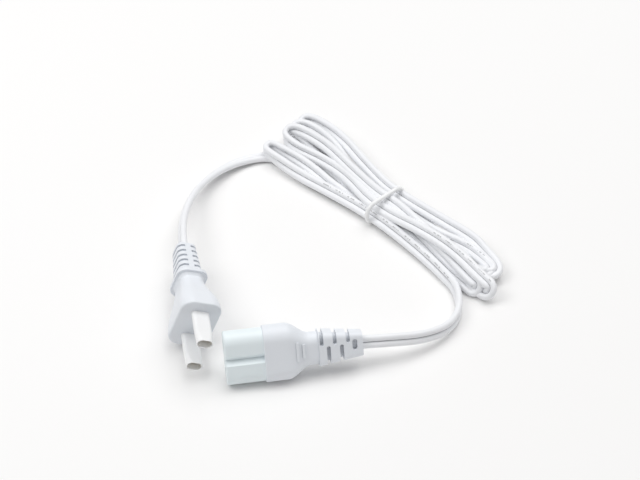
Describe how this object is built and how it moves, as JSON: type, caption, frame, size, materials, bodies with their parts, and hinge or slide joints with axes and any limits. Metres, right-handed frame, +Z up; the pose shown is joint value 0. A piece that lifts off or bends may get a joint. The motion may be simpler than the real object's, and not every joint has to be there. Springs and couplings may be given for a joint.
{
  "type": "power cord",
  "caption": "Mains power cord: plug with sleeved flat blades, flat twin cord tied in a hank, and a stadium-nosed appliance connector, both with slotted strain reliefs.",
  "frame": {"origin": "on the table, under the centre of the box round the plug and the connector", "axes": "+Z up from the table, +X along the connector from its nose towards its cord, the plug's blades point along -Y"},
  "size_m": [0.1375, 0.1471, 0.0254],
  "materials": {
    "body_pvc": "soft moulded PVC, satin",
    "nose_plastic": "hard moulded plastic, satin gloss",
    "carrier_plastic": "hard moulded plastic",
    "cord_pvc": "extruded PVC, satin",
    "sleeve_plastic": "thin soft plastic",
    "tie_band": "smooth elastic band",
    "brass": "bright stamped brass",
    "copper": "stranded copper"
  },
  "bodies": {
    "root": {"blade_sleeve_lower": "sleeve_plastic", "blade_sleeve_upper": "sleeve_plastic", "connector_contact_lower": "brass", "connector_contact_upper": "brass", "connector_cord_tail": "cord_pvc", "connector_lead": "cord_pvc", "connector_nose": "nose_plastic", "connector_overmould": "body_pvc", "connector_strands_lower": "copper", "connector_strands_upper": "copper", "cord_hank": "cord_pvc", "hank_tie": "tie_band", "plug_blade_carrier": "carrier_plastic", "plug_blade_lower": "brass", "plug_blade_upper": "brass", "plug_cord_tail": "cord_pvc", "plug_lead": "cord_pvc", "plug_overmould": "body_pvc", "plug_strands_lower": "copper", "plug_strands_upper": "copper"}
  },
  "joints": []
}
